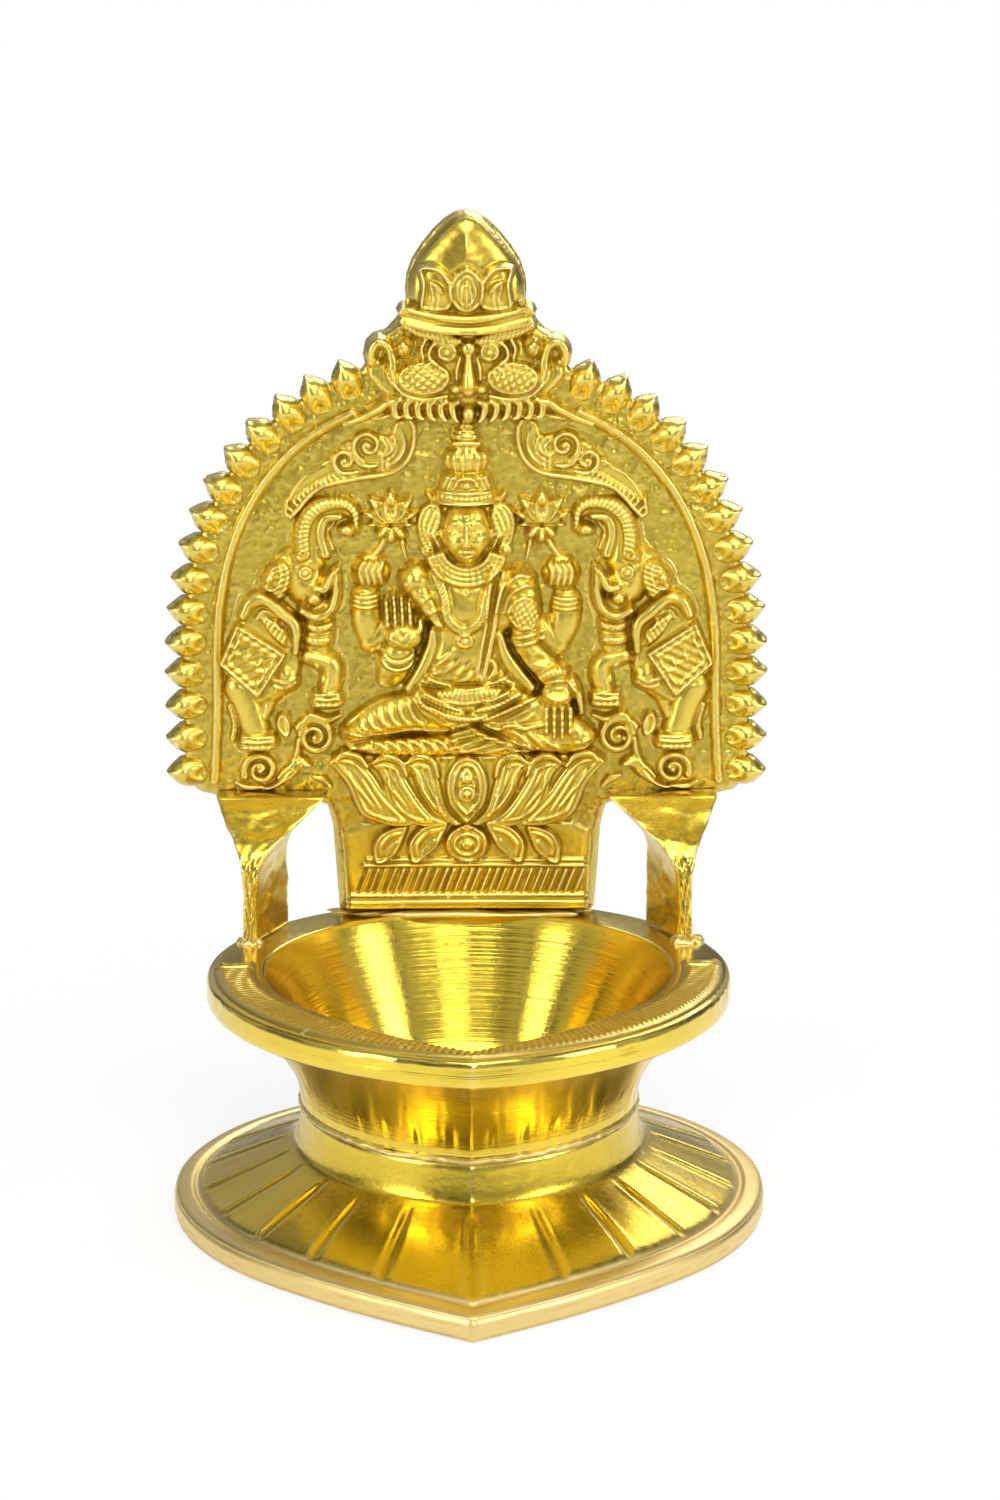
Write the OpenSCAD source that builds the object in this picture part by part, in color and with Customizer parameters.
// Brass oil lamp: a leaf-shaped foot, a turned bowl with a pointed wick lip,
// and an arched back plate carried on two tapered pillars and a centre web.
// X runs to the right, Y to the back, Z up.
// The origin is the middle of the foot's footprint, on the surface it stands on.

/* [Foot] */
// Width across the foot
foot_w = 99.6; // [94:0.2:104]
// Distance from the bowl's axis to the foot's front tip
foot_tip = 65.5; // [62:0.5:70]
// Height of the foot's rounded edge
foot_edge_h = 4.2; // [3.4:0.1:5]

/* [Neck] */
// Width across the waist, where foot and bowl meet
waist_w = 57; // [54:0.5:60]
// Distance from the axis to the keel at the front of the waist
waist_tip = 35.4; // [33:0.2:38]
// Height of the seam between foot and bowl
seam_z = 18.5; // [17:0.5:20]

/* [Bowl] */
// Height of the rim
rim_z = 41; // [40:0.5:43]
// Width across the rim
rim_w = 87.2; // [86:0.2:90]
// Distance from the axis to the rim's front tip
rim_tip = 53.4; // [52:0.2:56]
// Width across the turned opening
bowl_w = 68; // [66:0.5:70]
// Distance from the axis to the end of the wick lip
lip_tip = 48.4; // [46:0.2:49]
// Depth of the bowl below the rim
bowl_depth = 23; // [20:0.5:23.5]

/* [Back plate] */
// Distance from the bowl's axis to the plate's front face
plate_y = 33; // [32:0.5:35]
// Thickness of the plate
plate_t = 4; // [3:0.5:5]
// Half the width of the arch over the points of its border
arch_half = 52.2; // [50:0.2:54]
// Height at which the arch is widest
arch_z = 84; // [82:0.5:86]
// Height of the arch above its widest place
arch_rise = 57.8; // [56:0.2:60]
// Height of the top of the bud
bud_top = 163.6; // [160:0.2:168]

/* [Border] */
// Points on each side of the arch
studs_per_side = 15; // [13:1:15]
// Largest radius of one point
stud_r = 2.5; // [2:0.1:2.7]
// Length of one point
stud_len = 6.6; // [6:0.1:7.5]

/* [Hidden] */

eps = 0.01;
foot_r = foot_w / 2;
waist_r = waist_w / 2;
rim_r = rim_w / 2;
bowl_r = bowl_w / 2;
ring_count = 96;
// The footprint runs from -foot_tip to +foot_r, so this centres it on the origin
axis_y = (foot_tip - foot_r) / 2;
plate_back = plate_y + plate_t;
braze_t = 0.6;
braze_top = rim_z + braze_t;
floor_z = rim_z - bowl_depth;
spigot_r = 25;
spigot_z = seam_z - 3;
web_top_w = 47;
web_foot_w = 45;
web_top_z = 62;
pillar_slim_z = 48;
pillar_neck_z = 55;
ledge_z = 63.4;
ledge_y = 27;
face_z = 109;
bud_z = 147.2;

brass = [0.83, 0.66, 0.16];
bright_brass = [0.92, 0.76, 0.25];
dull_brass = [0.62, 0.5, 0.2];

// ---- leaf-shaped plans -------------------------------------------------

// Radius of a pointed leaf at angle t from its tip: a is the half width, b the
// tip distance, and bulge runs from 0, straight flanks, to 1, round flanks.
function leaf_r(t, a, b, bulge) =
    let (u = t > 180 ? 360 - t : t,
         touch = acos(min(1, a / b)),
         flat = a / cos(max(0, touch - u)),
         c = (b * b - a * a) / (2 * a),
         round_r = u >= 90 ? a
             : sqrt(pow(c * sin(u), 2) + pow(a + c, 2) - c * c) - c * sin(u))
    flat * (1 - bulge) + round_r * bulge;

// One ring of points; row is [z, half width, tip distance, bulge]
function leaf_ring(row) =
    [for (i = [0 : ring_count - 1])
        let (t = 360 * i / ring_count, r = leaf_r(t, row[1], row[2], row[3]))
        [r * sin(t), -r * cos(t), row[0]]];

function ring_faces(lower, upper) =
    [for (i = [0 : ring_count - 1])
        let (j = (i + 1) % ring_count)
        each [[lower + i, upper + j, upper + i], [lower + i, lower + j, upper + j]]];

// A shell whose section runs through the rows and back to the first one
module leaf_shell(rows) {
    n = len(rows);
    polyhedron(
        points = [for (row = rows) each leaf_ring(row)],
        faces = [for (k = [0 : n - 1])
            each ring_faces(k * ring_count, ((k + 1) % n) * ring_count)]);
}

// A solid whose section starts and ends on the axis
module leaf_solid(rows) {
    n = len(rows);
    last = n * ring_count;
    polyhedron(
        points = concat([for (row = rows) each leaf_ring(row)],
            [[0, 0, rows[0][0]], [0, 0, rows[n - 1][0]]]),
        faces = concat(
            [for (k = [0 : n - 2]) each ring_faces(k * ring_count, (k + 1) * ring_count)],
            [for (i = [0 : ring_count - 1]) [last, (i + 1) % ring_count, i]],
            [for (i = [0 : ring_count - 1])
                [last + 1, last - ring_count + i, last - ring_count + (i + 1) % ring_count]]));
}

// ---- arch of the back plate --------------------------------------------

arch_n = 2.3;
// Distance from the arch's centre to its border points, in direction t
function arch_r(t) =
    t < 0 ? arch_half / cos(t)
        : pow(pow(cos(t) / arch_half, arch_n) + pow(sin(t) / arch_rise, arch_n), -1 / arch_n);
// Point on the arch moved inwards by inset
function arch_pt(t, inset) =
    [(arch_r(t) - inset) * cos(t), arch_z + (arch_r(t) - inset) * sin(t)];
stud_first = -18.3;
stud_last = 68.3;
stud_step = (stud_last - stud_first) / (studs_per_side - 1);
rib_inset = 8.3;
valley_inset = 3.6;

// Angle of the outward normal, from two close points on the arch
function arch_normal(t) =
    let (d = arch_pt(t + 1, 0) - arch_pt(t - 1, 0)) atan2(-d[0], d[1]);

// Draws its flat children on the plate's front face, raised by h
module on_plate(h) {
    translate([0, plate_y, 0]) rotate([90, 0, 0]) linear_extrude(h) children();
}

// Keeps what stands in front of the plate's face
module in_front() {
    intersection() {
        children();
        translate([-100, plate_y - 100, 0]) cube([200, 100, 200]);
    }
}

// Both its child and the mirror image
module pair() {
    children();
    mirror([1, 0, 0]) children();
}

module mirror_2d() {
    children();
    mirror([1, 0]) children();
}

// ---- flat shapes for the relief ----------------------------------------

// Tapered limb between two points
module limb(p, q, r1, r2) {
    d = q - p;
    n = [-d[1], d[0]] / norm(d);
    translate(p) circle(r1, $fn = 32);
    translate(q) circle(r2, $fn = 32);
    polygon([p + n * r1, p - n * r1, q - n * r2, q + n * r2]);
}

// Pointed petal of length l and width w, from its root towards angle turn
module petal(root, turn, l, w) {
    r = (l * l / 4 + w * w / 4) / w;
    translate(root) rotate(turn - 90) intersection() {
        translate([r - w / 2, l / 2]) circle(r, $fn = 64);
        translate([w / 2 - r, l / 2]) circle(r, $fn = 64);
    }
}

// Raised line of width w through the points
module stroke(points, w) {
    for (i = [0 : len(points) - 2]) limb(points[i], points[i + 1], w / 2, w / 2);
}

// Curled tip of a scroll: a ring of line width w round a small boss
module curl(centre, r, w) {
    translate(centre) {
        difference() {
            circle(r, $fn = 48);
            circle(r - w, $fn = 48);
        }
        circle(r * 0.3, $fn = 32);
    }
}

// ---- castings ----------------------------------------------------------

module foot() {
    color(brass) leaf_shell([
        [0, foot_r - 4.5, foot_tip - 5.6, 0.4],
        [0, foot_r - 1.2, foot_tip - 1.4, 0.4],
        [1.1, foot_r, foot_tip, 0.4],
        [foot_edge_h - 1.1, foot_r, foot_tip, 0.4],
        [foot_edge_h, foot_r - 0.9, foot_tip - 1, 0.4],
        [foot_edge_h + 0.5, foot_r - 2.4, foot_tip - 2.8, 0.4],
        [foot_edge_h + 0.1, foot_r - 4, foot_tip - 4.6, 0.45],
        [foot_edge_h + 0.9, foot_r - 5.2, foot_tip - 6.1, 0.5],
        [6.5, 41, 54.5, 0.6],
        [8.5, 36.3, 47.8, 0.75],
        [11, 31.8, 40.6, 0.9],
        [13.5, 29.2, 36.8, 1],
        [16, waist_r - 0.1, waist_tip + 0.2, 1],
        [seam_z - 0.8, waist_r - 0.2, waist_tip - 0.2, 1],
        [seam_z, waist_r - 1, waist_tip - 1.2, 1],
        [seam_z, spigot_r + 0.05, spigot_r + 0.05, 1],
        [spigot_z, spigot_r + 0.05, spigot_r + 0.05, 1],
        [spigot_z, spigot_r - 3.5, spigot_r - 3.5, 1],
        [spigot_z - 2.5, spigot_r - 3, spigot_r + 1, 1],
        [9, 30, 38.5, 0.9],
        [4, 39.5, 52.5, 0.6],
        [2, foot_r - 5.3, foot_tip - 6.5, 0.4]]);
}

module bowl() {
    wall_k = tan(30);
    inner_r = bowl_r - wall_k * (bowl_depth - 2);
    color(bright_brass) leaf_solid([
        [spigot_z, spigot_r, spigot_r, 1],
        [seam_z, spigot_r, spigot_r, 1],
        [seam_z, waist_r - 1, waist_tip - 1.2, 1],
        [seam_z + 0.8, waist_r - 0.1, waist_tip - 0.1, 1],
        [seam_z + 2.5, waist_r, waist_tip + 0.2, 1],
        [24, waist_r + 0.8, waist_tip + 1.6, 1],
        [27.5, waist_r + 2.8, waist_tip + 4.4, 1],
        [31, waist_r + 5.8, waist_tip + 8, 1],
        [34, waist_r + 9.4, waist_tip + 12, 1],
        [rim_z - 4.6, rim_r - 1.6, rim_tip - 1.9, 1],
        [rim_z - 3.6, rim_r - 0.4, rim_tip - 0.5, 1],
        [rim_z - 1.8, rim_r, rim_tip, 1],
        [rim_z - 0.6, rim_r - 0.7, rim_tip - 0.8, 1],
        [rim_z, rim_r - 2.2, rim_tip - 2, 1],
        [rim_z, bowl_r + 0.3, lip_tip + 0.3, 0.4],
        [rim_z - 0.3, bowl_r, lip_tip, 0.4],
        [rim_z - 4, bowl_r - wall_k * 4, lip_tip - 7, 0.4],
        [rim_z - 8, bowl_r - wall_k * 8, lip_tip - 14.4, 0.6],
        [rim_z - 12, bowl_r - wall_k * 12, bowl_r - wall_k * 12 + 0.6, 1],
        [floor_z + 2, inner_r, inner_r, 1],
        [floor_z + 0.5, inner_r - 1.6, inner_r - 1.6, 1],
        [floor_z, inner_r - 4, inner_r - 4, 1]]);
}

module neck_braze() {
    color(dull_brass) leaf_shell([
        [seam_z, waist_r - 1, waist_tip - 1.2, 1],
        [seam_z - 0.8, waist_r - 0.2, waist_tip - 0.2, 1],
        [seam_z - 0.4, waist_r + 0.2, waist_tip + 0.3, 1],
        [seam_z + 0.4, waist_r + 0.3, waist_tip + 0.4, 1],
        [seam_z + 0.8, waist_r - 0.1, waist_tip - 0.1, 1]]);
}

module plate_outline() {
    last = [for (t = [stud_first : 3 : stud_last + 2]) arch_pt(t, valley_inset)];
    half = concat([[0, web_top_z], [web_top_w / 2, web_top_z - 1], [web_top_w / 2 + 3, ledge_z - 3],
            [arch_half - 8.6, ledge_z - 1], [arch_half - 3.8, ledge_z + 2.4]],
        last, [[16.4, 142.2], [12.6, 144.4], [10.4, 146.4], [0, 146.4]]);
    mirror_2d() {
        polygon(half);
        for (i = [0 : studs_per_side - 1])
            translate(arch_pt(stud_first + i * stud_step, 2.9)) circle(stud_r, $fn = 32);
        polygon([[0, braze_top], [web_foot_w / 2, braze_top], [web_top_w / 2, web_top_z],
            [0, web_top_z]]);
    }
    translate([0, 151]) circle(10, $fn = 64);
    polygon([[-9.2, 155], [9.2, 155], [6, 160], [0, bud_top - 0.4], [-6, 160]]);
}

module back_plate() {
    color(dull_brass) translate([0, plate_back, 0]) rotate([90, 0, 0])
        linear_extrude(plate_t) plate_outline();
}

// Sloping tile between two level outlines
module tile(z1, low, z2, high) {
    hull() {
        translate([0, 0, z1]) linear_extrude(eps) polygon(low);
        translate([0, 0, z2 - eps]) linear_extrude(eps) polygon(high);
    }
}

pillar_foot = [[36, 15], [38.6, 15], [34.8, 27.6], [31, 27.6]];
pillar_slim = [[36.3, 15.4], [38.2, 15.4], [35.4, 28.6], [31, 28.6]];
pillar_neck = [[35, 15], [38.8, 15], [36.5, plate_y], [31, plate_y]];
pillar_top = [[24.4, ledge_y], [43.2, ledge_y], [43.6, plate_y], [24, plate_y]];

module pillar() {
    color(brass) {
        tile(braze_top, pillar_foot, pillar_slim_z, pillar_slim);
        tile(pillar_slim_z, pillar_slim, pillar_neck_z, pillar_neck);
        tile(pillar_neck_z, pillar_neck, ledge_z, pillar_top);
    }
}

module left_pillar() { mirror([1, 0, 0]) pillar(); }
module right_pillar() { pillar(); }

module pillar_pad() {
    color(dull_brass) tile(rim_z, [[35, 14], [39.3, 14], [35.5, 26.6], [30.4, 28.4]],
        braze_top, pillar_foot);
}

module left_pillar_braze() { mirror([1, 0, 0]) pillar_pad(); }
module right_pillar_braze() { pillar_pad(); }

module web_braze() {
    w = web_foot_w / 2;
    color(dull_brass) tile(rim_z,
        [[-w, plate_y + 1.6], [w, plate_y + 1.6], [w, plate_back], [-w, plate_back]],
        braze_top,
        [[-w, plate_y + 1.2], [w, plate_y + 1.2], [w, plate_back], [-w, plate_back]]);
}

// ---- ornament ----------------------------------------------------------

// Raised band that runs round the front of the rim
module rim_band() {
    band_top = rim_z + 0.5;
    color(bright_brass) difference() {
        leaf_shell([
            [rim_z, bowl_r + 1.6, lip_tip + 0.8, 0.5],
            [rim_z, rim_r - 2.6, rim_tip - 2.3, 1],
            [band_top, rim_r - 2.8, rim_tip - 2.5, 1],
            [band_top, bowl_r + 1.9, lip_tip + 1.1, 0.5]]);
        translate([-60, 2, rim_z - 1]) cube([120, 60, 3]);
    }
}

// One point of the border: a round bulb drawn out to a tip, lying on the plate
module stud(t) {
    p = arch_pt(t, stud_len);
    color(bright_brass) in_front()
        translate([p[0], plate_y, p[1]]) rotate([0, 90 - arch_normal(t), 0])
            rotate_extrude($fn = 48)
                polygon([[0, 0], [1.5, 0.5], [2.3, 1.5], [stud_r, 2.7], [2.2, 3.9],
                    [1.2, 5.5], [0, stud_len]]);
}

module border_studs() {
    pair() for (i = [0 : studs_per_side - 1]) stud(stud_first + i * stud_step);
}

module border_rib() {
    rib_w = 1.3;
    inner = [for (t = [-25 : 3 : 71]) arch_pt(t, rib_inset + rib_w / 2)];
    outer = [for (t = [71 : -3 : -25]) arch_pt(t, rib_inset - rib_w / 2)];
    color(bright_brass) on_plate(1.5) mirror_2d() polygon(concat(inner, outer));
}

// Half outline of the bud above its base, drawn in by the factor k
function bud_half(k) =
    [for (p = [[9.5, -1], [10.1, 3], [9.4, 7], [6.8, 11], [3.2, 14.4], [0, bud_top - bud_z]])
        [p[0] * k, bud_z + p[1] * (0.3 + 0.7 * k)]];

module bud_layer(k) {
    right = bud_half(k);
    left = [for (i = [len(right) - 2 : -1 : 0]) [-right[i][0], right[i][1]]];
    polygon(concat(right, left));
}

module bud_finial() {
    color(bright_brass) {
        on_plate(2.6) bud_layer(1);
        on_plate(4) bud_layer(0.8);
        on_plate(5) bud_layer(0.55);
        on_plate(5.6) {
            petal([0, bud_z - 0.8], 90, 8.8, 5);
            mirror_2d() {
                petal([3.4, bud_z - 0.9], 68, 8.2, 4.4);
                petal([6.9, bud_z - 1], 48, 6.4, 3.8);
            }
        }
        on_plate(5.2) translate([-10.6, 144.6]) square([21.2, bud_z - 144.6]);
    }
}

module guardian_mask() {
    color(bright_brass) {
        on_plate(2.4) mirror_2d() {
            limb([0, 139.5], [13, 139.5], 4.4, 3);
            limb([6.5, 133.5], [11, 132.5], 3.4, 2.6);
            limb([2, 129.8], [15.5, 130.4], 1.8, 1.1);
        }
        on_plate(4.2) mirror_2d() {
            translate([3.8, 140.4]) circle(2, $fn = 32);
            limb([6, 135.4], [9.4, 135.6], 2.6, 2.2);
            limb([13, 141], [15.6, 139.2], 1.6, 1.2);
            petal([9, 138.6], 60, 5, 2.8);
        }
        on_plate(5.4) {
            limb([0, 138.6], [0, 134.4], 1, 1.7);
            mirror_2d() limb([1, 134], [1.6, 133.8], 0.9, 0.8);
        }
    }
}

// Seated figure with four arms, a tall crown and crossed legs
module goddess_figure() {
    crown_z = 116.2;
    color(bright_brass) {
        // crossed legs and lap
        on_plate(3.6) {
            mirror_2d() limb([4, 76.5], [20, 75], 4.4, 2.6);
            limb([-8, 80.5], [8, 80.5], 3.4, 3.4);
        }
        // body, neck and rear arms
        on_plate(3) {
            limb([0, 84], [0, 96.5], 5.6, 7);
            mirror_2d() {
                limb([9.4, 97.6], [18.6, 92], 2.2, 1.8);
                limb([18.6, 92], [17, 103.5], 1.8, 1.3);
                limb([17, 103.5], [14.6, 106], 1.4, 1);
            }
        }
        // chest, shoulders and front arms
        on_plate(4.4) {
            limb([-7.4, 97.4], [7.4, 97.4], 3, 3);
            limb([0, 86], [0, 95], 4.6, 5.6);
            limb([0, 98], [0, 104], 2.2, 2.2);
            limb([-9.2, 97], [-13.6, 87.4], 2.4, 2);
            limb([-13.6, 87.4], [-12.2, 92], 2, 1.5);
            limb([-12.2, 92], [-12.1, 97.6], 2.2, 2);
            limb([9.2, 97], [13.4, 86.4], 2.4, 1.9);
            limb([13.4, 86.4], [15.2, 80], 1.8, 1.5);
            limb([15.2, 80], [15.4, 75], 2.1, 1.7);
        }
        // knees
        on_plate(4.6) mirror_2d() limb([6, 75.4], [17, 75.2], 2.8, 2);
    }
    // head, hair and crown
    color(bright_brass) {
        in_front() translate([0, plate_y - 0.8, face_z]) rotate_extrude($fn = 48)
            polygon([[0, -5.4], [1.8, -5.1], [3.4, -3.6], [4.5, -1], [4.9, 1.6], [4.6, 4.2],
                [3.4, 6.2], [0, 6.6]]);
        on_plate(2.6) mirror_2d() limb([5.6, 105], [5.2, 112], 1.6, 2);
        in_front() translate([0, plate_y - 0.8, crown_z - 2]) rotate_extrude($fn = 48)
            polygon([[0, 0], [4.9, 0], [5.3, 1], [4.6, 2], [4.3, 4.6], [3.4, 5], [3.9, 7.4],
                [2.6, 9.4], [2.4, 10], [1.5, 11], [0.8, 13], [0, 13.6]]);
    }
}

module lotus_seat() {
    seat_z = 57.4;
    color(bright_brass) {
        on_plate(2.4) polygon([[-17, seat_z], [17, seat_z], [22, 64], [24.4, 69.6], [16, 71.4],
            [0, 72], [-16, 71.4], [-24.4, 69.6], [-22, 64]]);
        on_plate(3.4) mirror_2d()
            for (i = [1 : 4])
                petal([3.2 * i, seat_z + 0.4], 88 - 11 * i, 12.8 + i * 0.6, 4.2);
        on_plate(4.6) petal([0, seat_z], 90, 14.2, 7.4);
    }
}

module lotus_band() {
    band_z = 53.8;
    color(bright_brass) {
        on_plate(1.6) translate([-18.6, 50.9]) square([37.2, 6]);
        on_plate(2.4) mirror_2d() {
            petal([4, band_z - 1.6], 24, 7.4, 4.2);
            petal([11.6, band_z - 1.6], 24, 7, 3.8);
        }
        on_plate(2.8) translate([0, band_z]) circle(2.8, $fn = 48);
    }
}

module elephant() {
    color(bright_brass) {
        // body and legs
        on_plate(2.2) {
            limb([31, 94], [37.5, 87], 5.6, 6.8);
            limb([27, 91], [24.6, 81], 2.8, 2.2);
            limb([38.6, 81], [37.6, 71.4], 3.2, 2.4);
            limb([33, 84], [31, 79], 2.6, 2);
        }
        // head and neck
        on_plate(3) limb([27.6, 101.4], [27, 95], 4.6, 3);
        // trunk, raised and curled
        on_plate(2.6) stroke([[27.8, 104], [26.8, 109], [26.4, 113], [24.2, 115.6],
            [21.4, 115], [19.6, 112], [20, 109.8], [21.4, 109.6]], 2.4);
        // tusk, ear and saddle cloth
        on_plate(3.6) petal([24.6, 99.4], 130, 4.8, 2);
        on_plate(3.8) petal([30.6, 98.2], 76, 8, 5);
        on_plate(3) polygon([[31.4, 88.4], [39.6, 94], [43, 87], [36.8, 81]]);
    }
}

module left_elephant() { mirror([1, 0, 0]) elephant(); }
module right_elephant() { elephant(); }

module lotus_flower() {
    root = [13.2, 108.2];
    color(bright_brass) on_plate(2.4) {
        for (i = [-3 : 3]) petal(root, 90 + i * 24, 6.6 - abs(i) * 0.3, 2.6);
        for (x = [-2.2, 0, 2.2]) limb(root + [0, 0.4], root + [x, abs(x) * 0.4 - 3], 0.9, 0.6);
    }
}

module left_lotus_flower() { mirror([1, 0, 0]) lotus_flower(); }
module right_lotus_flower() { lotus_flower(); }

module upper_scrolls() {
    color(bright_brass) on_plate(1.4) mirror_2d() {
        stroke([[9.4, 126.4], [9.6, 122.4], [12.6, 119.4], [17, 119], [21.4, 118],
            [25.8, 115.4], [30.4, 112]], 1.2);
        curl([14, 123.6], 2.6, 0.9);
        curl([20.4, 121.6], 2, 0.8);
    }
}

module lower_scrolls() {
    color(bright_brass) on_plate(1.6) mirror_2d() {
        curl([26.8, 72.6], 3.4, 1.2);
        curl([36.8, 68.2], 3.2, 1.2);
        limb([29.8, 71.6], [33.6, 69.2], 1.1, 0.9);
    }
}

translate([0, axis_y, 0]) foot();
translate([0, axis_y, 0]) bowl();
translate([0, axis_y, 0]) neck_braze();
translate([0, axis_y, 0]) back_plate();
translate([0, axis_y, 0]) left_pillar();
translate([0, axis_y, 0]) right_pillar();
translate([0, axis_y, 0]) left_pillar_braze();
translate([0, axis_y, 0]) right_pillar_braze();
translate([0, axis_y, 0]) web_braze();
translate([0, axis_y, 0]) rim_band();
translate([0, axis_y, 0]) border_studs();
translate([0, axis_y, 0]) border_rib();
translate([0, axis_y, 0]) bud_finial();
translate([0, axis_y, 0]) guardian_mask();
translate([0, axis_y, 0]) goddess_figure();
translate([0, axis_y, 0]) lotus_seat();
translate([0, axis_y, 0]) lotus_band();
translate([0, axis_y, 0]) left_elephant();
translate([0, axis_y, 0]) right_elephant();
translate([0, axis_y, 0]) left_lotus_flower();
translate([0, axis_y, 0]) right_lotus_flower();
translate([0, axis_y, 0]) upper_scrolls();
translate([0, axis_y, 0]) lower_scrolls();
